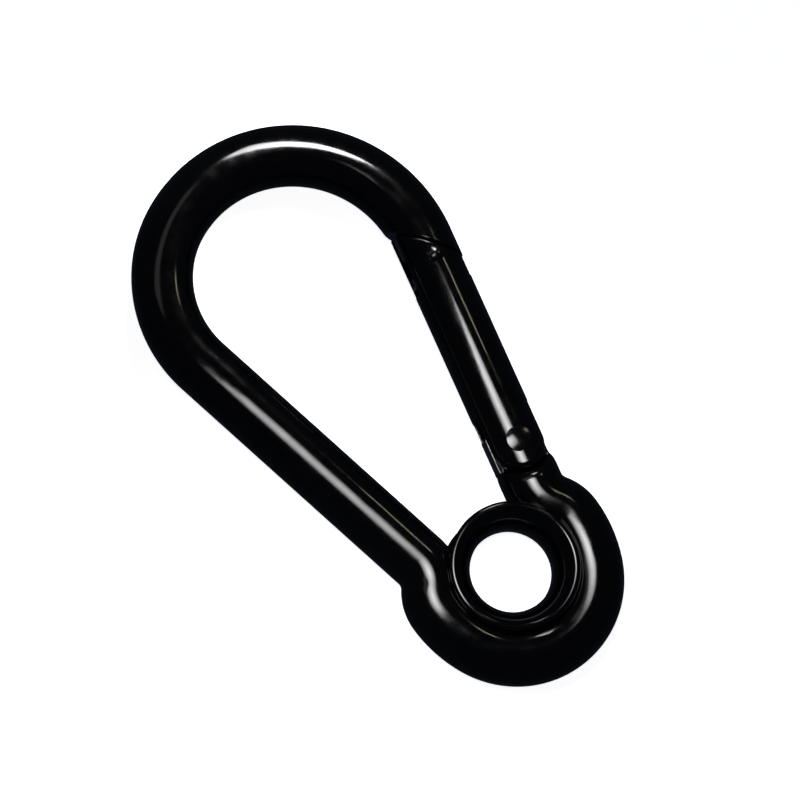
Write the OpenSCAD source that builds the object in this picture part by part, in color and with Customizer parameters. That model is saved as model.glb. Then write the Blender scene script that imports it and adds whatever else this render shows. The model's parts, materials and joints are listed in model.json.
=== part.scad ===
// Sprung snap hook: a bent round rod with a pressed-in eyelet and a hinged gate.
// The hook lies flat in the XY plane, and all sizes are in millimetres.
// +Z runs along the eyelet's bore, +Y from the eyelet to the bow, +X towards the gate.
// The origin is the middle of the eyelet's bore.

/* [Rod] */
// Diameter of the round rod that the hook is bent from
rod_d = 5.8; // [5.6:0.1:5.9]
// Lean of each straight arm from the Y axis, in degrees
arm_angle = 12.25; // [12:0.05:12.5]

/* [Bow] */
// Height of the bow's centre above the eyelet
bow_y = 33.1; // [32.8:0.1:34]
// Centreline radius of the bow over its crown and gate side
bow_r = 13; // [12.9:0.1:13.2]
// Centreline radius of the tighter bend between the crown and the plain arm
shoulder_r = 11.2; // [11:0.1:11.6]

/* [Eye loop] */
// Distance of the gate's axis from the eyelet's axis
gate_line = 5.4; // [5.3:0.1:5.6]
// Distance of the plain arm's axis from the eyelet's axis
arm_line = 5.1; // [5:0.1:5.2]
// Centreline radius of the loop's lower bend
loop_r = 7.5; // [7.5:0.1:7.7]
// Depth of that bend's centre below the eyelet
loop_drop = 0.6; // [0.5:0.05:0.7]
// Centreline radius of the loop's flatter flanks
flank_r = 11; // [10:0.5:12]
// Angle of the lower bend that each flank takes over, in degrees
flank_angle = 25; // [22:1:28]
// Centreline radius where a flank turns in towards an arm
hip_r = 3.1; // [3:0.1:3.3]
// Centreline radius of the reverse bend into each arm
corner_r = 3.5; // [3.3:0.1:4]

/* [Eyelet] */
// Radius of the eyelet's bore
bore_r = 3.95; // [3.8:0.05:3.95]
// Straight length of the bore between its two flares
bore_length = 1.2; // [0.8:0.1:1.6]
// Radius of the rolled edge of each flange
flange_r = 6; // [5.8:0.1:6.1]
// Radius of the curve that each flange flares out on
flare_r = 3.4; // [3.35:0.05:3.5]
// Room between the loop and the groove it sits in
seat_gap = 0.05; // [0.04:0.01:0.08]

/* [Gate] */
// Diameter of the gate's round bar
gate_d = 5.66; // [5.6:0.02:5.7]
// Distance of the hinge pin from where the bow meets the gate's line
hinge_drop = 21.25; // [21.2:0.05:21.4]
// Distance from the hinge pin to the latch pin
pin_span = 19.2; // [19:0.1:19.3]
// Height of the slanted parting face above the hinge pin, on the gate's axis
parting_y = 20.45; // [20.4:0.05:20.6]
// Lean of the parting face from square across the gate, in degrees
parting_angle = 39; // [38:0.5:40]
// Room between the gate and the rod's nose and shoulder
parting_gap = 0.09; // [0.08:0.01:0.12]
// Width of the slot in each end of the gate
slot_w = 2.2; // [2.15:0.05:2.3]
// Thickness of the rod's flattened tang and tongue, which sit in those slots
tang_t = 2; // [1.8:0.05:2]

/* [Pins] */
// Diameter of the hinge pin
hinge_pin_d = 2.3; // [2:0.1:2.3]
// Diameter of the latch pin
latch_pin_d = 1.5; // [1.3:0.1:1.5]
// Rise of each pin's domed end above its rim
dome_h = 0.4; // [0.3:0.05:0.45]
// Half length of a pin up to the rim of its dome
rim_z = 2.5; // [2.45:0.05:2.5]
// Running clearance between the hinge pin and the tang, on the radius
pin_gap = 0.05; // [0.03:0.01:0.08]
// Room round the latch pin in the tongue's notch, on the radius
notch_gap = 0.12; // [0.1:0.01:0.15]

/* [Spring and plunger] */
// Largest angle that the gate swings in, in degrees
open_angle = 42; // [40:1:42]
// Offset of the tang's cam face from the hinge pin, which sets the plunger's travel
cam_offset = 1.1; // [1:0.05:1.1]
// Radius of the tang's cam face
cam_r = 2.4; // [2.35:0.05:2.4]
// Radius of the plunger
plunger_r = 1.35; // [1.3:0.05:1.35]
// Length of the plunger's guided barrel
plunger_length = 3.5; // [3:0.1:3.5]
// Radius of the blind bore in the gate
spring_bore_r = 1.4; // [1.39:0.01:1.42]
// Distance from the hinge pin to the end of that bore
spring_bore_end = 14.5; // [14:0.1:14.5]
// Wire diameter of the spring
wire_d = 0.5; // [0.4:0.05:0.5]
// Turns of the spring
spring_turns = 12; // [10:1:12]

/* [Hidden] */
$fn = 96;

black = [0.02, 0.02, 0.022];
steel = [0.62, 0.63, 0.65];
far = 20;                       // longer than any cut needs to reach across the rod
rod_r = rod_d / 2;
gate_r = gate_d / 2;
collar_rise = 0.02;             // a collar stands this proud, so that neighbouring lengths join as one
collar_length = 0.1;

// Unit vectors in the XY plane
function dir(a) = [cos(a), sin(a)];
function mirror_x(p) = [-p.x, p.y];
gate_out = dir(-arm_angle);     // square to the gate's axis, away from the hollow
gate_up = dir(90 - arm_angle);  // along the gate, towards the bow
arm_out = mirror_x(gate_out);   // the same two for the plain arm
arm_up = mirror_x(gate_up);

// Bow: the main bend touches the gate's line, and the shoulder touches the plain arm's line
bow_c = [(gate_line - bow_r + bow_y * sin(arm_angle)) / cos(arm_angle), bow_y];
bow_step = bow_r - shoulder_r;
join_angle = 180 + arm_angle - acos((arm_line - shoulder_r - bow_c * arm_out) / bow_step);
shoulder_c = bow_c + bow_step * dir(join_angle);
nose_start = bow_c + bow_r * gate_out;
arm_top = shoulder_c + shoulder_r * arm_out;

// Eye loop, worked out on the gate side: lower bend, flank, hip, and the corner into an arm
loop_c = [0, -loop_drop];
flank_c = loop_c + (loop_r - flank_r) * dir(-flank_angle);
hip_c = flank_c + [flank_r - hip_r, 0];
function corner_along(line) = hip_c * gate_up
    + sqrt(pow(hip_r + corner_r, 2) - pow(line + corner_r - hip_c * gate_out, 2));
function corner_c(line) = (line + corner_r) * gate_out + corner_along(line) * gate_up;
function arm_foot(line) = line * gate_out + corner_along(line) * gate_up;
function hip_angle(line) = let (v = corner_c(line) - hip_c) atan2(v.y, v.x);

// Gate: its own frame has the hinge pin at the origin, +Y towards the nose and +X outwards
hinge = nose_start - hinge_drop * gate_up;
shoulder_cut_r = gate_r + parting_gap;
cam_lean = open_angle / 2;
cam_c = cam_offset * [-cos(cam_lean), -sin(cam_lean)];
cam_rest = cam_r - cam_offset * sin(cam_lean);   // from the hinge pin to the cam, gate shut
tang_half = 2.72;               // half width of the tang
tang_root = 4;                  // how far the tang runs into the rod below the pin
boss_r = cam_rest - 0.05;       // ring of metal round the pin's hole
fork_depth = 3.25;              // end of the hinge slot above the pin
tongue_end = 16.9;              // lower end of the tongue above the hinge pin
tongue_half = 2.45;
tongue_round = 0.8;             // rounding of the tongue's end
latch_slot_end = 16.4;          // lower end of the slot for the tongue
notch_r = latch_pin_d / 2 + notch_gap;
notch_sweep = 12;               // angle about the hinge that the notch is open over
drill_point = 0.7;              // height of the cone at the end of the bore

plunger_gap = 0.02;             // between the plunger's face and the cam
plunger_face = cam_rest + plunger_gap;
plunger_back = plunger_face + plunger_length;
spigot_r = 0.7;                 // peg on the plunger that centres the spring
spigot_h = 1.2;
coil_r = spring_bore_r - 0.05 - wire_d / 2;
coil_start = plunger_back + 0.02 + wire_d / 2;
coil_end = spring_bore_end - 0.03 - wire_d / 2;
closed_turn = 1;                // turns at each end that lie against their neighbour
wire_sides = 6;
ring_steps = 16;                // rings of the wire in one turn

// Eyelet: the groove follows the loop's rod, and each flange flares round it
groove_r = rod_r + seat_gap;
groove_x = loop_r;
flare_x = bore_r + sqrt(pow(flare_r, 2) - pow(bore_length / 2, 2));
bead_x = flange_r - 0.27;       // centre of the flange's rolled edge
groove_z = sqrt(pow(groove_r, 2) - pow(groove_x - bead_x, 2));
flare_z = sqrt(pow(flare_r, 2) - pow(flare_x - bead_x, 2));

// A band over a join in the rod at p, where the rod runs at angle a
module collar(p, a) {
    translate([p.x, p.y, 0]) rotate(a) rotate([0, 90, 0])
        cylinder(r = rod_r + collar_rise, h = collar_length, center = true);
}

// A bend of the rod about c, from angle a0 to a1
module plain_bend(c, r, a0, a1) {
    translate([c.x, c.y, 0]) rotate(a0) rotate_extrude(angle = a1 - a0) translate([r, 0]) circle(r = rod_r);
}

// The same with a collar over its end
module bend(c, r, a0, a1) {
    plain_bend(c, r, a0, a1);
    collar(c + r * dir(a1), a1 + 90);
}

// A straight length of the rod from p to q, with a collar over its end
module straight(p, q) {
    d = q - p;
    turn = atan2(d.y, d.x);
    translate([p.x, p.y, 0]) rotate(turn) rotate([0, 90, 0]) cylinder(r = rod_r, h = norm(d));
    collar(q, turn);
}

// Puts its children in the gate's own frame
module on_gate() {
    translate([hinge.x, hinge.y, 0]) rotate(-arm_angle) children();
}

// A cylinder along the gate's axis, from y0 to y1
module along_gate(r, y0, y1) {
    translate([0, y0, 0]) rotate([-90, 0, 0]) cylinder(r = r, h = y1 - y0);
}

// Everything above the parting face, moved up by shift
module above_parting(shift) {
    translate([0, parting_y + shift / cos(parting_angle), 0]) rotate(-parting_angle)
        translate([-far, 0, -far]) cube([2 * far, 2 * far, 2 * far]);
}

// One side of the loop, from its lower bend up to an arm; drawn on the gate side
module loop_side(line) {
    turn = hip_angle(line);
    bend(flank_c, flank_r, 0, -flank_angle);
    bend(hip_c, hip_r, turn, 0);
    bend(corner_c(line), corner_r, 180 - arm_angle, 180 + turn);
}

// Flat tang that the gate hinges on, with the cam face that the plunger presses on
module tang() {
    linear_extrude(tang_t, center = true) {
        translate([-tang_half + 0.25, -tang_root]) square([2 * tang_half - 0.5, tang_root + cam_c.y]);
        circle(r = boss_r);
        intersection() {
            translate(cam_c) circle(r = cam_r);
            translate([-tang_half, -tang_root]) square([2 * tang_half, 2 * tang_root]);
        }
    }
}

// Flat tongue below the nose, before its notch is cut
module tongue() {
    linear_extrude(tang_t, center = true) {
        translate([-tongue_half, tongue_end + tongue_round]) square([2 * tongue_half, 5]);
        translate([-tongue_half + tongue_round, tongue_end])
            square([2 * (tongue_half - tongue_round), tongue_round]);
        for (side = [-1, 1])
            translate([side * (tongue_half - tongue_round), tongue_end + tongue_round]) circle(r = tongue_round);
    }
}

// Notch that the latch pin swings into, an arc about the hinge that opens towards the hollow
module notch() {
    translate([0, pin_span, -far]) cylinder(r = notch_r, h = 2 * far);
    rotate(90) rotate_extrude(angle = notch_sweep)
        translate([pin_span - notch_r, -far]) square([2 * notch_r, 2 * far]);
}

// Nose of the rod: the end of the bow, cut at the parting face
module nose() {
    intersection() {
        union() {
            straight(hinge + tongue_end * gate_up, nose_start);
            bend(bow_c, bow_r, -arm_angle, 40);
        }
        on_gate() above_parting(parting_gap);
    }
}

// Neck below the hinge, hollowed for the round end of the gate
module neck() {
    difference() {
        straight(hinge, arm_foot(gate_line));
        on_gate() cylinder(r = shoulder_cut_r, h = 2 * far, center = true);
    }
}

module body() {
    color(black) difference() {
        union() {
            nose();
            bend(bow_c, bow_r, 40, join_angle);
            bend(shoulder_c, shoulder_r, join_angle, 180 + arm_angle);
            straight(arm_top, mirror_x(arm_foot(arm_line)));
            mirror([1, 0, 0]) loop_side(arm_line);
            plain_bend(loop_c, loop_r, 180 + flank_angle, 360 - flank_angle);
            loop_side(gate_line);
            neck();
            on_gate() tang();
            on_gate() tongue();
        }
        on_gate() notch();
        on_gate() cylinder(r = hinge_pin_d / 2 + pin_gap, h = 2 * far, center = true);
    }
}

// Thimble pressed into the loop, with a rolled edge on each flange
module eyelet() {
    color(black) rotate_extrude() {
        difference() {
            intersection() {
                translate([flare_x, 0]) circle(r = flare_r);
                translate([bore_r, -far]) square([bead_x - bore_r, 2 * far]);
            }
            translate([groove_x, 0]) circle(r = groove_r);
        }
        for (side = [-1, 1])
            translate([bead_x, side * (flare_z + groove_z) / 2]) circle(r = (flare_z - groove_z) / 2);
    }
}

// Round bar, forked at both ends and bored for the spring
module gate() {
    color(black) on_gate() difference() {
        union() {
            along_gate(gate_r, 0, hinge_drop + 3);
            intersection() {
                along_gate(gate_r, -far, 0);
                cylinder(r = gate_r, h = 2 * far, center = true);
            }
        }
        above_parting(0);
        translate([-far, -far, -slot_w / 2]) cube([2 * far, far + fork_depth, slot_w]);
        translate([-far, latch_slot_end, -slot_w / 2]) cube([2 * far, far, slot_w]);
        along_gate(spring_bore_r, 0, spring_bore_end);
        translate([0, spring_bore_end, 0]) rotate([-90, 0, 0])
            cylinder(r1 = spring_bore_r, r2 = 0.1, h = drill_point);
        cylinder(d = hinge_pin_d, h = 2 * far, center = true);
        translate([0, pin_span, 0]) cylinder(d = latch_pin_d, h = 2 * far, center = true);
    }
}

// Riveted pin with a domed end on each side
module pin(d) {
    dome_r = (pow(d / 2, 2) + pow(dome_h, 2)) / (2 * dome_h);
    cylinder(d = d, h = 2 * rim_z, center = true);
    for (side = [0, 1]) mirror([0, 0, side])
        translate([0, 0, rim_z]) intersection() {
            translate([0, 0, dome_h - dome_r]) sphere(r = dome_r);
            cylinder(d = d + 1, h = far);
        }
}

module hinge_pin() {
    color(black) on_gate() pin(hinge_pin_d);
}

module latch_pin() {
    color(black) on_gate() translate([0, pin_span, 0]) pin(latch_pin_d);
}

// Flat-faced plunger that slides in the gate's bore
module plunger() {
    color(steel) on_gate() {
        along_gate(plunger_r, plunger_face, plunger_back);
        along_gate(spigot_r, plunger_back, plunger_back + spigot_h);
    }
}

// Height along the coil at a turn count t, with closed turns at both ends
function coil_y(t) = let (
    open_turns = spring_turns - 2 * closed_turn,
    pitch = (coil_end - coil_start - 2 * closed_turn * wire_d) / open_turns,
    lower = min(t, closed_turn),
    middle = min(max(t - closed_turn, 0), open_turns),
    upper = max(t - closed_turn - open_turns, 0)
) coil_start + (lower + upper) * wire_d * 1.02 + middle * (pitch - 0.004);
function coil_point(i, j) = let (
    turn = 360 * i / ring_steps,
    side = 360 * j / wire_sides,
    r = coil_r + wire_d / 2 * cos(side)
) [r * cos(turn), coil_y(i / ring_steps) + wire_d / 2 * sin(side), r * sin(turn)];

// Compression spring between the plunger and the end of the gate's bore
module gate_spring() {
    rings = spring_turns * ring_steps;
    points = [for (i = [0:rings]) for (j = [0:wire_sides - 1]) coil_point(i, j)];
    walls = [for (i = [0:rings - 1]) for (j = [0:wire_sides - 1]) let (
        a = i * wire_sides + j,
        b = i * wire_sides + (j + 1) % wire_sides
    ) [a, b, b + wire_sides, a + wire_sides]];
    start = [[for (j = [wire_sides - 1:-1:0]) j]];
    finish = [[for (j = [0:wire_sides - 1]) rings * wire_sides + j]];
    color(steel) on_gate() polyhedron(points, concat(start, walls, finish));
}

body();
eyelet();
gate();
hinge_pin();
latch_pin();
gate_spring();
plunger();
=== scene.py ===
"""Looks of a sprung snap hook: coated rod, gate, eyelet and rivets, with a steel spring and plunger.

Shapes are worked out in millimetres and written in metres. The hook lies flat in the XY plane.
The gate has its own frame: the hinge pin is its origin, v runs up the gate and u points outwards.
"""
import json
import math

import bmesh
import bpy
import numpy as np
from mathutils import Matrix, Vector


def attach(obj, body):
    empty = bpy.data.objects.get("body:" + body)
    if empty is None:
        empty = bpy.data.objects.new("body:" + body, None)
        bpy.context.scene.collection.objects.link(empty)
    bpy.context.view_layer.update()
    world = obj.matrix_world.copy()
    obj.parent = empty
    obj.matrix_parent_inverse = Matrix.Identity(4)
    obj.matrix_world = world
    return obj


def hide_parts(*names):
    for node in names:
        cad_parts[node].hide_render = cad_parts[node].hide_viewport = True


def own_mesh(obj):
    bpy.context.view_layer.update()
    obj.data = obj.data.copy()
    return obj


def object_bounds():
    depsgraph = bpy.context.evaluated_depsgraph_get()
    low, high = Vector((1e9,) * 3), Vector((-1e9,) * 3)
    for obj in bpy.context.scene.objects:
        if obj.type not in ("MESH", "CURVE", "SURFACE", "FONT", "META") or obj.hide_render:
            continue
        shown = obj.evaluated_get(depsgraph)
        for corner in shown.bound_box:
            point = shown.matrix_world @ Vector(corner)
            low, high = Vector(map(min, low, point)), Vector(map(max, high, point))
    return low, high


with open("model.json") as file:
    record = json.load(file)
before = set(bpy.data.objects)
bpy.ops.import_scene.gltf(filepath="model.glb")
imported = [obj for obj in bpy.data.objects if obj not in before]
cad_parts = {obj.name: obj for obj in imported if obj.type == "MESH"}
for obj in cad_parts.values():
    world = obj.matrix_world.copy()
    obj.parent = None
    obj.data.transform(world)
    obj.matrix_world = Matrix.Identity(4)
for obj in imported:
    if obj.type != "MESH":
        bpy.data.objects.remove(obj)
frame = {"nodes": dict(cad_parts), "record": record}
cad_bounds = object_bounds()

MM = 0.001

# Rod, and the lines its two arms run on
ROD_R = 2.9
BOW_Y = 33.1
BOW_R = 13.0
NOSE_BEND = math.radians(40)
SHOULDER_R = 11.2
GATE_LINE = 5.4
ARM_LINE = 5.1

# Eye loop
LOOP_R = 7.5
LOOP_DROP = 0.6
FLANK_R = 11.0
FLANK_ANGLE = math.radians(25)
HIP_R = 3.1
CORNER_R = 3.5

# Eyelet
BORE_R = 3.95
BORE_HALF = 0.6
FLARE_R = 3.4
GROOVE_R = 2.95
BEAD_R = 0.45
BEAD_TOP = 3.0

# Gate, with its slots, bore and pins
GATE_R = 2.83
NECK_CUT_R = 2.92
PARTING_V = 20.45
PARTING_ANGLE = math.radians(39)
PARTING_GAP = 0.09
SLOT_HALF = 1.1
FORK_DEPTH = 3.25
LATCH_SLOT = 16.4
SPRING_BORE_R = 1.4
SPRING_BORE_START = -1.0
SPRING_BORE_END = 14.5
DRILL_POINT = 0.7
PIN_SPAN = 19.2
HINGE_PIN_R = 1.15
LATCH_PIN_R = 0.75
HINGE_HEAD_TOP = 2.95
HINGE_DOME_R = 5.5
LATCH_HEAD_TOP = 3.0
LATCH_DOME_R = 1.6
HEAD_LIP = 0.1
HEAD_BITE = 0.25
HEAD_EDGE = 0.06
HEAD_FOOT = 2.1

# Flat tang and tongue of the rod
TANG_HALF_T = 1.0
TANG_HALF_W = 2.72
TANG_ROOT = 4.0
ROOT_INSET = 0.25
BOSS_R = 1.956
CAM_R = 2.4
CAM_OFFSET = 1.1
OPEN_ANGLE = math.radians(42)
TANG_HOLE_R = 1.2
TONGUE_END = 16.9
TONGUE_HALF_W = 2.45
TONGUE_HALF_V = 2.9
TONGUE_ROUND = 0.8
NOTCH_R = 0.87
NOTCH_SWEEP = math.radians(12)

# Spring and plunger
PLUNGER_R = 1.35
PLUNGER_LENGTH = 3.5
PLUNGER_GAP = 0.02
SPIGOT_R = 0.7
SPIGOT_H = 1.2
PLUNGER_EDGE = 0.12
WIRE_R = 0.25
SPRING_TURNS = 12
SPRING_SIDE_ROOM = 0.05
SPRING_START_ROOM = 0.02
SPRING_END_ROOM = 0.03
CLOSED_TURN = 1.02 * 2 * WIRE_R

# How far the metal and its coat round an edge, and fill a corner
NECK_EDGE = 1.3
BAR_END_EDGE = 0.6
PARTING_EDGE = 0.2
FINE_EDGE = 0.12
FILLET = 0.2

# Camera: how far its view is tilted from straight down, which way, and how far it is turned
TILT = math.radians(15.5)
TILT_WAY = math.radians(54.70)
TURN = math.radians(35.57)
CAMERA_AT = Vector((-444.79, -135.53, 1702.23))
LENS = 849.9
SENSOR = 36

# Studio. Lights are placed about the light centre, and an open light has no grid on its front
LIGHT_CENTRE = Vector((-2, 20, 0))
OPEN_REACH = 1000
WHITE = (1, 1, 1)
WARM = (1, 0.93, 0.7)
ROOM_BLUE = (0.55, 0.68, 1, 1)
ROOM_STRENGTH = 0.03
FLOOR_GLOW = 0.95
FLOOR_HALF = 3.0
FLOOR_ROW = 7

# The part of a noise value's range that materials use
NOISE_LOW = 0.35
NOISE_HIGH = 0.65

# Settling a mesh on its field: the step that the slope is taken over, and the least slope that it trusts
SLOPE_STEP = 0.01
LEAST_SLOPE = 0.3

# Meshes: remesh steps, the stretches up the gate where the hook's is finer, the radius of the flat at the
# middle of a turned end, and how many points go round or along a turned piece
HOOK_VOXEL = 0.22
GATE_VOXEL = 0.11
FINE_SPANS = ((-4.3, 2.8), (16.5, 23.6))
FINE_HALF_W = 3.6
CENTRE_R = 0.02
EYELET_SIDES = 160
PIN_SIDES = 64
WIRE_SIDES = 12
STEPS_A_TURN = 28
DOME_POINTS = 24
EDGE_POINTS = 6


def unit(angle):
    return np.array([math.cos(angle), math.sin(angle)])


def mirrored(point):
    return np.array([-point[0], point[1]])


# The gate's frame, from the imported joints
joints = {joint["name"]: joint for joint in frame["record"]["behaviour"]["joints"]}
hinge = np.array(joints["gate_hinge"]["pos_m"][:2]) / MM
gate_up = np.array(joints["plunger_slide"]["axis"][:2])
gate_out = np.array([gate_up[1], -gate_up[0]])
lean = math.atan2(gate_up[0], gate_up[1])
arm_out = mirrored(gate_out)

# Bow: its main bend touches the gate's line and its shoulder touches the arm's line
bow_c = np.array([(GATE_LINE - BOW_R + BOW_Y * math.sin(lean)) / math.cos(lean), BOW_Y])
join_angle = math.pi + lean - math.acos((ARM_LINE - SHOULDER_R - bow_c @ arm_out) / (BOW_R - SHOULDER_R))
shoulder_c = bow_c + (BOW_R - SHOULDER_R) * unit(join_angle)
nose_start = bow_c + BOW_R * gate_out
arm_top = shoulder_c + SHOULDER_R * arm_out

# Eye loop: lower bend, flank, hip, and the corner into an arm
loop_c = np.array([0, -LOOP_DROP])
flank_c = loop_c + (LOOP_R - FLANK_R) * unit(-FLANK_ANGLE)
hip_c = flank_c + np.array([FLANK_R - HIP_R, 0])


def corner(arm_line):
    """Centre of the corner between the hip and the arm on that line, and its direction from the hip."""
    reach = HIP_R + CORNER_R
    turn = -lean + math.acos((arm_line + CORNER_R - hip_c @ gate_out) / reach)
    return hip_c + reach * unit(turn), turn


def foot(arm_line):
    """Where the arm on that line runs into its corner."""
    return corner(arm_line)[0] - CORNER_R * gate_out


# ---------------------------------------------------------------- distances

def soft_max(a, b, width):
    """The larger of two distances, with the crease between them rounded over that width."""
    overlap = np.maximum(width - np.abs(a - b), 0)
    return np.maximum(a, b) + overlap**2 / (4 * width)


def soft_min(a, b, width):
    return -soft_max(-a, -b, width)


def line(start, stop):
    """Distance in plan from a straight line between two points."""
    along = stop - start

    def distance(xy):
        t = np.clip((xy - start) @ along / (along @ along), 0, 1)
        return np.linalg.norm(xy - start - t[:, None] * along, axis=1)
    return distance


def arc(centre, radius, start, stop):
    """Distance in plan from an arc between two angles."""
    middle = (start + stop) / 2
    half = (stop - start) / 2

    def distance(xy):
        away = xy - centre
        turn = np.arctan2(away[:, 1], away[:, 0]) - middle
        turn = np.clip((turn + math.pi) % (2 * math.pi) - math.pi, -half, half) + middle
        return np.hypot(away[:, 0] - radius * np.cos(turn), away[:, 1] - radius * np.sin(turn))
    return distance


def flipped(distance):
    """The same distance for the other side of the hook."""
    return lambda xy: distance(xy * [-1, 1])


def loop_side(arm_line):
    """The loop's flank, its hip, and the corner into the arm."""
    centre, turn = corner(arm_line)
    return [
        arc(flank_c, FLANK_R, -FLANK_ANGLE, 0),
        arc(hip_c, HIP_R, 0, turn),
        arc(centre, CORNER_R, math.pi - lean, math.pi + turn),
    ]


NOSE_PATH = [
    line(hinge + TONGUE_END * gate_up, nose_start),
    arc(bow_c, BOW_R, -lean, NOSE_BEND),
]
ROD_PATH = [
    arc(bow_c, BOW_R, NOSE_BEND, join_angle),
    arc(shoulder_c, SHOULDER_R, join_angle, math.pi + lean),
    line(arm_top, mirrored(foot(ARM_LINE))),
    *[flipped(part) for part in loop_side(ARM_LINE)],
    arc(loop_c, LOOP_R, math.pi + FLANK_ANGLE, 2 * math.pi - FLANK_ANGLE),
    *loop_side(GATE_LINE),
    line(foot(GATE_LINE), hinge),
]


def tube(path, points, radius):
    plan = np.min([distance(points[:, :2]) for distance in path], axis=0)
    return np.hypot(plan, points[:, 2]) - radius


def in_gate_frame(points):
    away = points[:, :2] - hinge
    return away @ gate_out, away @ gate_up, points[:, 2]


def box(u, v, centre, half):
    """Distance in plan from a rectangle, exact outside it."""
    du = np.abs(u - centre[0]) - half[0]
    dv = np.abs(v - centre[1]) - half[1]
    return np.hypot(np.maximum(du, 0), np.maximum(dv, 0)) + np.minimum(np.maximum(du, dv), 0)


def parting(u, v):
    """Height above the slanted face where the gate meets the nose."""
    return (v - PARTING_V) * math.cos(PARTING_ANGLE) + u * math.sin(PARTING_ANGLE)


def tang_outline(u, v):
    cam = CAM_OFFSET * -unit(OPEN_ANGLE / 2)
    root_half = (TANG_ROOT + cam[1]) / 2
    root = box(u, v, (0, cam[1] - root_half), (TANG_HALF_W - ROOT_INSET, root_half))
    face = np.maximum(np.hypot(u - cam[0], v - cam[1]) - CAM_R, np.abs(u) - TANG_HALF_W)
    return np.minimum(np.minimum(root, np.hypot(u, v) - BOSS_R), face)


def tongue_outline(u, v):
    inner = (TONGUE_HALF_W - TONGUE_ROUND, TONGUE_HALF_V - TONGUE_ROUND)
    return box(u, v, (0, TONGUE_END + TONGUE_HALF_V), inner) - TONGUE_ROUND


def notch(u, v):
    """Distance in plan from the notch that the latch pin swings into."""
    turn = np.clip(np.arctan2(v, u), math.pi / 2, math.pi / 2 + NOTCH_SWEEP)
    return np.hypot(u - PIN_SPAN * np.cos(turn), v - PIN_SPAN * np.sin(turn)) - NOTCH_R


def hook_field(points):
    """Signed distance from the coated rod: negative inside it."""
    u, v, z = in_gate_frame(points)
    rod = soft_max(tube(ROD_PATH, points, ROD_R), NECK_CUT_R - np.hypot(u, v), NECK_EDGE)
    nose = soft_max(tube(NOSE_PATH, points, ROD_R), PARTING_GAP - parting(u, v), PARTING_EDGE)
    solid = np.minimum(rod, nose)
    flat = np.abs(z) - TANG_HALF_T
    solid = soft_min(solid, soft_max(tang_outline(u, v), flat, FINE_EDGE), FILLET)
    solid = soft_min(solid, soft_max(tongue_outline(u, v), flat, FINE_EDGE), FILLET)
    solid = soft_max(solid, -notch(u, v), FINE_EDGE)
    return soft_max(solid, TANG_HOLE_R - np.hypot(u, v), FINE_EDGE)


def gate_field(points):
    """Signed distance from the gate's bar: negative inside it."""
    u, v, z = in_gate_frame(points)
    end = np.hypot(u, np.minimum(v, 0)) - GATE_R
    end_edge = BAR_END_EDGE * np.clip(-v, 0.02, 1)
    bar = soft_max(np.hypot(u, z) - GATE_R, end, end_edge)
    bar = soft_max(bar, parting(u, v), PARTING_EDGE)
    slots = np.minimum(v - FORK_DEPTH, LATCH_SLOT - v)
    bar = soft_max(bar, -np.maximum(np.abs(z) - SLOT_HALF, slots), FINE_EDGE)
    cone = (v - SPRING_BORE_END) * SPRING_BORE_R / DRILL_POINT
    bore = np.maximum(np.hypot(u, z) - SPRING_BORE_R + np.maximum(cone, 0), SPRING_BORE_START - v)
    bar = soft_max(bar, -bore, FINE_EDGE)
    bar = np.maximum(bar, HINGE_PIN_R - HEAD_BITE - np.hypot(u, v))
    return np.maximum(bar, LATCH_PIN_R - HEAD_BITE - np.hypot(u, v - PIN_SPAN))


# ---------------------------------------------------------------- meshes

def slope_of(field, points):
    """The field's gradient, by central differences."""
    steps = SLOPE_STEP * np.eye(3)
    return np.stack([(field(points + step) - field(points - step)) / (2 * SLOPE_STEP)
                     for step in steps], axis=1)


def settle(mesh, field, rounds):
    """Spaces a mesh's vertices evenly and moves each onto the surface where the field is zero."""
    points = np.empty(len(mesh.vertices) * 3)
    mesh.vertices.foreach_get("co", points)
    points = points.reshape(-1, 3)
    edges = np.empty(len(mesh.edges) * 2, int)
    mesh.edges.foreach_get("vertices", edges)
    a, b = edges.reshape(-1, 2).T
    ends = np.concatenate([a, b])
    other_ends = np.concatenate([b, a])
    count = np.bincount(ends, minlength=len(points))
    for turn in range(rounds):
        if turn < rounds - 1:
            total = np.stack([np.bincount(ends, axis[other_ends], len(points)) for axis in points.T], axis=1)
            points = (points + total / count[:, None]) / 2
        for _ in range(2):
            slope = slope_of(field, points)
            points -= slope * (field(points) / np.maximum((slope**2).sum(1), LEAST_SLOPE))[:, None]
    mesh.vertices.foreach_set("co", points.ravel())
    mesh.update()
    return points


def remeshed(node, voxel):
    """A new mesh, in millimetres, of even squares over a CAD node's surface."""
    copy = frame["nodes"][node].data.copy()
    copy.transform(Matrix.Scale(1 / MM, 4))
    holder = bpy.data.objects.new("remesh_source", copy)
    bpy.context.scene.collection.objects.link(holder)
    change = holder.modifiers.new("remesh", "REMESH")
    change.mode = "VOXEL"
    change.voxel_size = voxel
    ready = holder.evaluated_get(bpy.context.evaluated_depsgraph_get())
    mesh = bpy.data.meshes.new_from_object(ready)
    bpy.data.objects.remove(holder)
    mesh.materials.clear()
    return mesh


def split_faces(mesh, wanted):
    """Divides the faces whose centre wanted() picks into four."""
    work = bmesh.new()
    work.from_mesh(mesh)
    centres = np.array([face.calc_center_median() for face in work.faces])
    picked = wanted(centres)
    edges = {edge for face, pick in zip(work.faces, picked) if pick for edge in face.edges}
    in_order = sorted(edges, key=lambda edge: edge.index)
    bmesh.ops.subdivide_edges(work, edges=in_order, cuts=1, use_grid_fill=True)
    bmesh.ops.triangulate(work, faces=[face for face in work.faces if len(face.verts) > 4])
    work.to_mesh(mesh)
    work.free()


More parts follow.
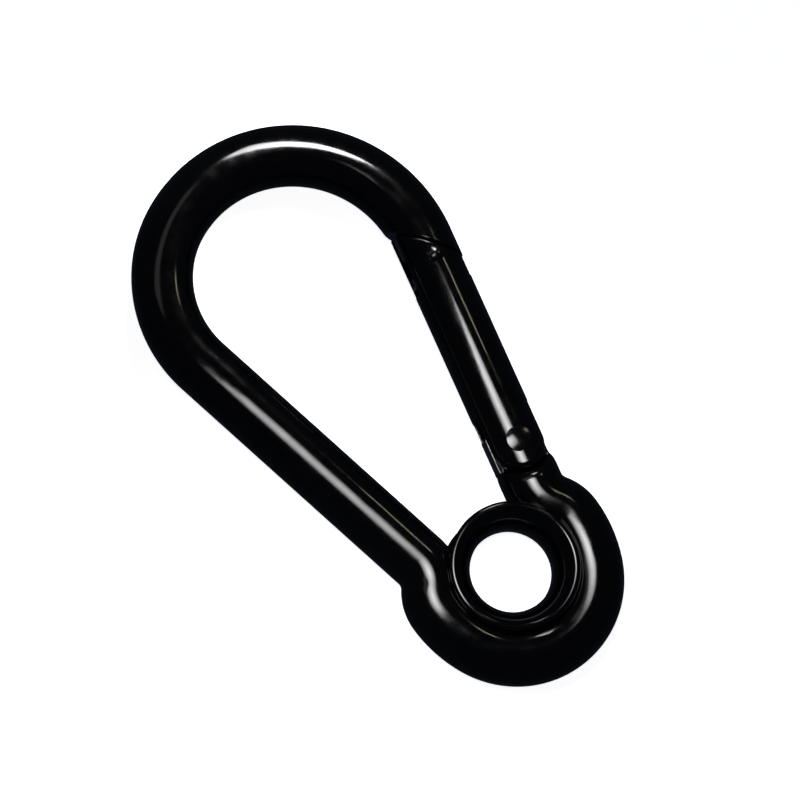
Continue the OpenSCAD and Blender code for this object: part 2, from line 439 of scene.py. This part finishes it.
def near_gate_ends(points):
    u, v, _ = in_gate_frame(points)
    in_span = [(v > low) & (v < high) for low, high in FINE_SPANS]
    return (np.abs(u) < FINE_HALF_W) & np.any(in_span, axis=0)


def show(name, mesh, body, node, material):
    """Puts a finished mesh, still in millimetres, in the scene in place of a CAD node."""
    mesh.transform(Matrix.Scale(MM, 4))
    mesh.materials.append(material)
    mesh.shade_smooth()
    piece = bpy.data.objects.new(name, mesh)
    bpy.context.scene.collection.objects.link(piece)
    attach(piece, body)
    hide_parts(node)
    return piece


def shaped(field, mesh, rounds):
    """Settles a mesh on a field and gives it the field's own normals."""
    points = settle(mesh, field, rounds)
    normals = slope_of(field, points)
    normals /= np.maximum(np.linalg.norm(normals, axis=1), 1e-6)[:, None]
    mesh.shade_smooth()
    mesh.normals_split_custom_set_from_vertices(normals)
    return mesh


def grid_mesh(name, points, wrap_rings, caps=False):
    """A mesh from a grid of points: one row for each ring, closed round each ring."""
    rings, sides, _ = points.shape
    faces = []
    for i in range(rings if wrap_rings else rings - 1):
        for j in range(sides):
            here, there = i * sides, (i + 1) % rings * sides
            after = (j + 1) % sides
            faces.append((here + j, here + after, there + after, there + j))
    if caps:
        faces.append(tuple(range(sides - 1, -1, -1)))
        faces.append(tuple(range((rings - 1) * sides, rings * sides)))
    mesh = bpy.data.meshes.new(name)
    mesh.from_pydata(points.reshape(-1, 3).tolist(), [], faces)
    mesh.validate()
    return mesh


def lathe(name, profile, segments, wrap=False):
    """Turns a profile of (radius, height) about the Z axis."""
    turns = np.linspace(0, 2 * math.pi, segments, endpoint=False)
    r, h = np.array(profile).T
    points = np.stack([np.outer(r, np.cos(turns)), np.outer(r, np.sin(turns)),
                       np.outer(h, np.ones(segments))], axis=2)
    return grid_mesh(name, points, wrap, caps=not wrap)


def curve_points(centre, radius, start, stop, count):
    """Points along an arc, as (x, y)."""
    return [tuple(np.array(centre) + radius * unit(turn)) for turn in np.linspace(start, stop, count)]


def build_hook(material):
    mesh = remeshed("body", HOOK_VOXEL)
    settle(mesh, hook_field, 3)
    split_faces(mesh, near_gate_ends)
    show("hook_rod", shaped(hook_field, mesh, 4), "hook", "body", material)


def build_gate(material):
    mesh = remeshed("gate", GATE_VOXEL)
    show("gate_bar", shaped(gate_field, mesh, 4), "gate", "gate", material)


def build_eyelet(material):
    """The thimble: a flared bore, a groove for the loop, and a bead rolled round each flange."""
    flare_c = BORE_R + math.sqrt(FLARE_R**2 - BORE_HALF**2)
    bead_z = BEAD_TOP - BEAD_R
    bead_x = flare_c - math.sqrt((FLARE_R - BEAD_R) ** 2 - bead_z**2)
    apart = math.hypot(LOOP_R - bead_x, bead_z)
    along = (BEAD_R**2 - GROOVE_R**2 + apart**2) / (2 * apart)
    bead_stop = math.atan2(-bead_z, LOOP_R - bead_x) + math.acos(along / BEAD_R)
    edge = np.array([bead_x, bead_z]) + BEAD_R * unit(bead_stop)
    flare_start = math.pi - math.asin(BORE_HALF / FLARE_R)
    flare_stop = math.atan2(bead_z, bead_x - flare_c)
    groove_start = math.atan2(edge[1], edge[0] - LOOP_R)
    upper = curve_points((flare_c, 0), FLARE_R, flare_start, flare_stop, DOME_POINTS)
    upper += curve_points((bead_x, bead_z), BEAD_R, flare_stop, bead_stop, DOME_POINTS)[1:]
    upper += curve_points((LOOP_R, 0), GROOVE_R, groove_start, math.pi, 14)[1:]
    lower = [(r, -h) for r, h in reversed(upper[:-1])]
    mesh = lathe("eyelet_thimble", (upper + lower)[::-1], EYELET_SIDES, wrap=True)
    show("eyelet_thimble", mesh, "hook", "eyelet", material)


def build_pin(name, node, radius, top, dome, along, material):
    """A rivet across the gate, with a low domed head on each side that laps over its hole."""
    lip = radius + HEAD_LIP
    inner = lip - HEAD_EDGE
    upper = [(r, top - r**2 / (2 * dome)) for r in np.linspace(CENTRE_R, inner, DOME_POINTS)]
    rim = (inner, upper[-1][1] - HEAD_EDGE)
    upper += curve_points(rim, HEAD_EDGE, math.pi / 2, 0, EDGE_POINTS)[1:]
    upper += [(lip, HEAD_FOOT), (radius, HEAD_FOOT - HEAD_LIP)]
    profile = [(r, -height) for r, height in upper] + upper[::-1]
    mesh = lathe(name, profile, PIN_SIDES)
    mesh.transform(gate_axes(along))
    show(name, mesh, "gate", node, material)


def gate_axes(along, upright=False):
    """Puts a piece in the gate's frame: X out, Y up the gate. Upright turns Z up the gate instead."""
    out = Vector((*gate_out, 0))
    up = Vector((*gate_up, 0))
    columns = (out, up.cross(out), up) if upright else (out, up, out.cross(up))
    place = hinge + along * gate_up
    return Matrix.Translation((*place, 0)) @ Matrix(columns).transposed().to_4x4()


def plunger_back():
    cam_rest = CAM_R - CAM_OFFSET * math.sin(OPEN_ANGLE / 2)
    return cam_rest + PLUNGER_GAP + PLUNGER_LENGTH


def build_plunger(material):
    """A turned barrel with rounded edges and a peg that centres the spring."""
    back = plunger_back()
    front = back - PLUNGER_LENGTH
    peg_top = back + SPIGOT_H
    soft = PLUNGER_EDGE
    square = math.pi / 2
    profile = [(CENTRE_R, front)]
    profile += curve_points((PLUNGER_R - soft, front + soft), soft, -square, 0, EDGE_POINTS)
    profile += curve_points((PLUNGER_R - soft, back - soft), soft, 0, square, EDGE_POINTS)
    profile += [(SPIGOT_R + soft, back)]
    profile += curve_points((SPIGOT_R - soft, peg_top - soft), soft, 0, square, EDGE_POINTS)
    profile += [(CENTRE_R, peg_top)]
    mesh = lathe("plunger_barrel", profile, PIN_SIDES)
    mesh.transform(gate_axes(0, upright=True))
    show("plunger_barrel", mesh, "plunger", "plunger", material)


def build_spring(material):
    """A compression coil with a closed turn at each end."""
    start = plunger_back() + SPRING_START_ROOM + WIRE_R
    stop = SPRING_BORE_END - SPRING_END_ROOM - WIRE_R
    turns = np.linspace(0, SPRING_TURNS, SPRING_TURNS * STEPS_A_TURN + 1)
    open_turns = SPRING_TURNS - 2
    pitch = (stop - start - 2 * CLOSED_TURN) / open_turns
    height = start + CLOSED_TURN * np.minimum(turns, 1) + pitch * np.clip(turns - 1, 0, open_turns)
    height += CLOSED_TURN * np.maximum(turns - SPRING_TURNS + 1, 0)
    coil_r = SPRING_BORE_R - SPRING_SIDE_ROOM - WIRE_R
    angle = 2 * math.pi * turns
    side = np.linspace(0, 2 * math.pi, WIRE_SIDES, endpoint=False)
    r = coil_r + WIRE_R * np.cos(side)[None, :]
    points = np.stack([r * np.cos(angle)[:, None], r * np.sin(angle)[:, None],
                       height[:, None] + WIRE_R * np.sin(side)[None, :]], axis=2)
    mesh = grid_mesh("coil_spring", points, False, caps=True)
    mesh.flip_normals()
    mesh.transform(gate_axes(0, upright=True))
    piece = show("coil_spring", mesh, "gate", "gate_spring", material)
    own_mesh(piece)


# ---------------------------------------------------------------- materials

def node_material(name):
    material = bpy.data.materials.new(name)
    material.use_nodes = True
    return material, material.node_tree, material.node_tree.nodes["Principled BSDF"]


def noise(tree, size, detail, stretch=None):
    """Noise in the piece's own coordinates, with features of the given size in millimetres."""
    place = tree.nodes.new("ShaderNodeTexCoord").outputs["Object"]
    if stretch:
        mapping = tree.nodes.new("ShaderNodeMapping")
        mapping.inputs["Scale"].default_value = stretch
        tree.links.new(place, mapping.inputs["Vector"])
        place = mapping.outputs["Vector"]
    texture = tree.nodes.new("ShaderNodeTexNoise")
    texture.inputs["Scale"].default_value = 1 / (size * MM)
    texture.inputs["Detail"].default_value = detail
    tree.links.new(place, texture.inputs["Vector"])
    return texture.outputs["Fac"]


def spread(tree, value, low, high):
    """Maps the middle of a noise value's range to run from low to high."""
    node = tree.nodes.new("ShaderNodeMapRange")
    node.inputs["From Min"].default_value = NOISE_LOW
    node.inputs["From Max"].default_value = NOISE_HIGH
    node.inputs["To Min"].default_value = low
    node.inputs["To Max"].default_value = high
    tree.links.new(value, node.inputs["Value"])
    return node.outputs["Result"]


def tint(tree, value, first, second):
    """A colour that runs from first to second as the value goes from 0 to 1."""
    node = tree.nodes.new("ShaderNodeMix")
    node.data_type = "RGBA"
    node.inputs["A"].default_value = (*first, 1)
    node.inputs["B"].default_value = (*second, 1)
    tree.links.new(value, node.inputs["Factor"])
    return node.outputs["Result"]


def bump(tree, shader, heights):
    """Adds each (height, depth in millimetres) to the shader's normal."""
    normal = None
    for height, depth in heights:
        node = tree.nodes.new("ShaderNodeBump")
        node.inputs["Distance"].default_value = depth * MM
        tree.links.new(height, node.inputs["Height"])
        if normal:
            tree.links.new(normal, node.inputs["Normal"])
        normal = node.outputs["Normal"]
    tree.links.new(normal, shader.inputs["Normal"])


def coat_material(name, roughness, grey):
    """Thick black enamel: glossy, with a faint orange peel and slightly uneven gloss."""
    material, tree, shader = node_material(name)
    mottle = spread(tree, noise(tree, 2.5, 4), 0, 1)
    deep = (grey, grey, grey * 1.1)
    paler = (grey * 2.2, grey * 2.1, grey * 2.1)
    tree.links.new(tint(tree, mottle, deep, paler), shader.inputs["Base Color"])
    gloss = spread(tree, noise(tree, 1.2, 5), roughness, roughness * 1.6)
    tree.links.new(gloss, shader.inputs["Roughness"])
    shader.inputs["IOR"].default_value = 1.5
    waves = noise(tree, 3.0, 1)
    peel = noise(tree, 0.55, 2)
    bump(tree, shader, [(waves, 0.02), (peel, 0.0012)])
    return material


def steel_material(name, colour, roughness, grain):
    """Drawn or turned steel with fine lines along its grain and a few duller patches."""
    material, tree, shader = node_material(name)
    shader.inputs["Metallic"].default_value = 1
    lines = noise(tree, 0.12, 3, grain)
    patches = spread(tree, noise(tree, 0.9, 3), 0, 1)
    darker = tuple(c * 0.72 for c in colour)
    tree.links.new(tint(tree, patches, colour, darker), shader.inputs["Base Color"])
    tree.links.new(spread(tree, lines, roughness, roughness * 1.7), shader.inputs["Roughness"])
    bump(tree, shader, [(lines, 0.004)])
    return material


def floor_material():
    material, tree, shader = node_material("pale_floor")
    patches = spread(tree, noise(tree, 60, 3), 0, 1)
    colour = tint(tree, patches, (0.9, 0.9, 0.9), (0.88, 0.88, 0.885))
    tree.links.new(colour, shader.inputs["Base Color"])
    shader.inputs["Roughness"].default_value = 0.9
    shader.inputs["Emission Color"].default_value = (1, 1, 1, 1)
    shader.inputs["Emission Strength"].default_value = FLOOR_GLOW
    return material


# ---------------------------------------------------------------- stage, light and camera

def view_axes():
    """The camera's right, up and backward directions, as the columns of a matrix."""
    tilt_axis = Vector((-math.sin(TILT_WAY), math.cos(TILT_WAY), 0))
    turned = Matrix.Rotation(TILT, 3, tilt_axis) @ Matrix.Rotation(TURN, 3, "Z")
    return turned.transposed()


def add_camera():
    data = bpy.data.cameras.new("camera")
    data.lens = LENS
    data.sensor_width = SENSOR
    camera = bpy.data.objects.new("camera", data)
    camera.matrix_world = Matrix.Translation(CAMERA_AT * MM) @ view_axes().to_4x4()
    bpy.context.scene.collection.objects.link(camera)
    bpy.context.scene.camera = camera


def add_light(name, place, aim, size, spin, reach, colour, radiance):
    """A softbox that shines from place to aim, both in millimetres in the camera's axes.

    Spin, in degrees, turns it about the camera's line of sight. Reach is the tangent of the angle at which
    the grid on its front shuts off its light. Radiance is what it shows when seen straight on.
    """
    axes = view_axes()
    back = (axes @ (Vector(place) - Vector((*aim, 0)))).normalized()
    across = axes @ Vector((*unit(math.radians(spin)), 0))
    right = (across - back * across.dot(back)).normalized()
    turn = Matrix((right, back.cross(right), back)).transposed().to_4x4()
    data = bpy.data.lights.new(name, "AREA")
    data.shape = "RECTANGLE"
    data.size = size[0] * MM
    data.size_y = size[1] * MM
    data.spread = 2 * math.atan(reach)
    data.color = colour
    share = 1 - math.atan(reach) / reach
    data.energy = radiance * math.pi * data.size * data.size_y * share
    light = bpy.data.objects.new(name, data)
    light.matrix_world = Matrix.Translation((LIGHT_CENTRE + axes @ Vector(place)) * MM) @ turn
    light.visible_camera = False
    bpy.context.scene.collection.objects.link(light)


def add_world():
    """Pale to the camera, and a dark faintly blue room in the reflections."""
    world = bpy.data.worlds.new("studio")
    world.use_nodes = True
    bpy.context.scene.world = world
    tree = world.node_tree
    rays = tree.nodes.new("ShaderNodeLightPath")
    room = tree.nodes["Background"]
    room.inputs["Color"].default_value = ROOM_BLUE
    room.inputs["Strength"].default_value = ROOM_STRENGTH
    pale = tree.nodes.new("ShaderNodeBackground")
    pale.inputs["Color"].default_value = (1, 1, 1, 1)
    pale.inputs["Strength"].default_value = 1
    mix = tree.nodes.new("ShaderNodeMixShader")
    tree.links.new(rays.outputs["Is Camera Ray"], mix.inputs["Fac"])
    tree.links.new(room.outputs["Background"], mix.inputs[1])
    tree.links.new(pale.outputs["Background"], mix.inputs[2])
    tree.links.new(mix.outputs["Shader"], tree.nodes["World Output"].inputs["Surface"])


def add_floor():
    """A wide pale floor under the hook, which the gloss doesn't pick up."""
    low = cad_bounds[0][2]
    steps = np.linspace(-FLOOR_HALF, FLOOR_HALF, FLOOR_ROW)
    points = [(x, y, low) for y in steps for x in steps]
    starts = [i * FLOOR_ROW + j for i in range(FLOOR_ROW - 1) for j in range(FLOOR_ROW - 1)]
    faces = [(k, k + 1, k + FLOOR_ROW + 1, k + FLOOR_ROW) for k in starts]
    mesh = bpy.data.meshes.new("floor")
    mesh.from_pydata(points, [], faces)
    mesh.materials.append(floor_material())
    floor = bpy.data.objects.new("floor", mesh)
    floor.visible_glossy = False
    bpy.context.scene.collection.objects.link(floor)


def main():
    coat = coat_material("black_enamel", 0.09, 0.0004)
    pin_coat = coat_material("black_enamel_on_pins", 0.11, 0.0005)
    spring_steel = steel_material("spring_steel", (0.62, 0.63, 0.65), 0.22, (1, 1, 0.15))
    turned_steel = steel_material("turned_steel", (0.58, 0.58, 0.6), 0.28, (0.2, 1, 1))
    add_camera()
    build_hook(coat)
    build_gate(coat)
    build_eyelet(coat)
    build_pin("hinge_rivet", "hinge_pin", HINGE_PIN_R, HINGE_HEAD_TOP, HINGE_DOME_R, 0, pin_coat)
    build_pin("latch_rivet", "latch_pin", LATCH_PIN_R, LATCH_HEAD_TOP, LATCH_DOME_R, PIN_SPAN, pin_coat)
    build_plunger(turned_steel)
    build_spring(spring_steel)
    add_floor()
    add_world()
    add_light("main_softbox", place=(3.2, 7.6, 71.7), aim=(7.0, -15.6), size=(64.2, 26.6), spin=42.4,
              reach=0.36, colour=WHITE, radiance=20.6)
    add_light("bow_softbox", place=(3.0, 73.2, 38), aim=(-24.5, 38.4), size=(14.9, 47.5), spin=45.8,
              reach=0.9, colour=WHITE, radiance=45.7)
    add_light("fill", place=(-187, 344, 600), aim=(0, 0), size=(163, 486), spin=135,
              reach=OPEN_REACH, colour=WHITE, radiance=0.42)
    add_light("warm_lamp", place=(59.2, 56.8, 58), aim=(0, 0), size=(11.6, 4.5), spin=-67,
              reach=OPEN_REACH, colour=WARM, radiance=8)
    bpy.context.scene.view_settings.view_transform = "Standard"


main()
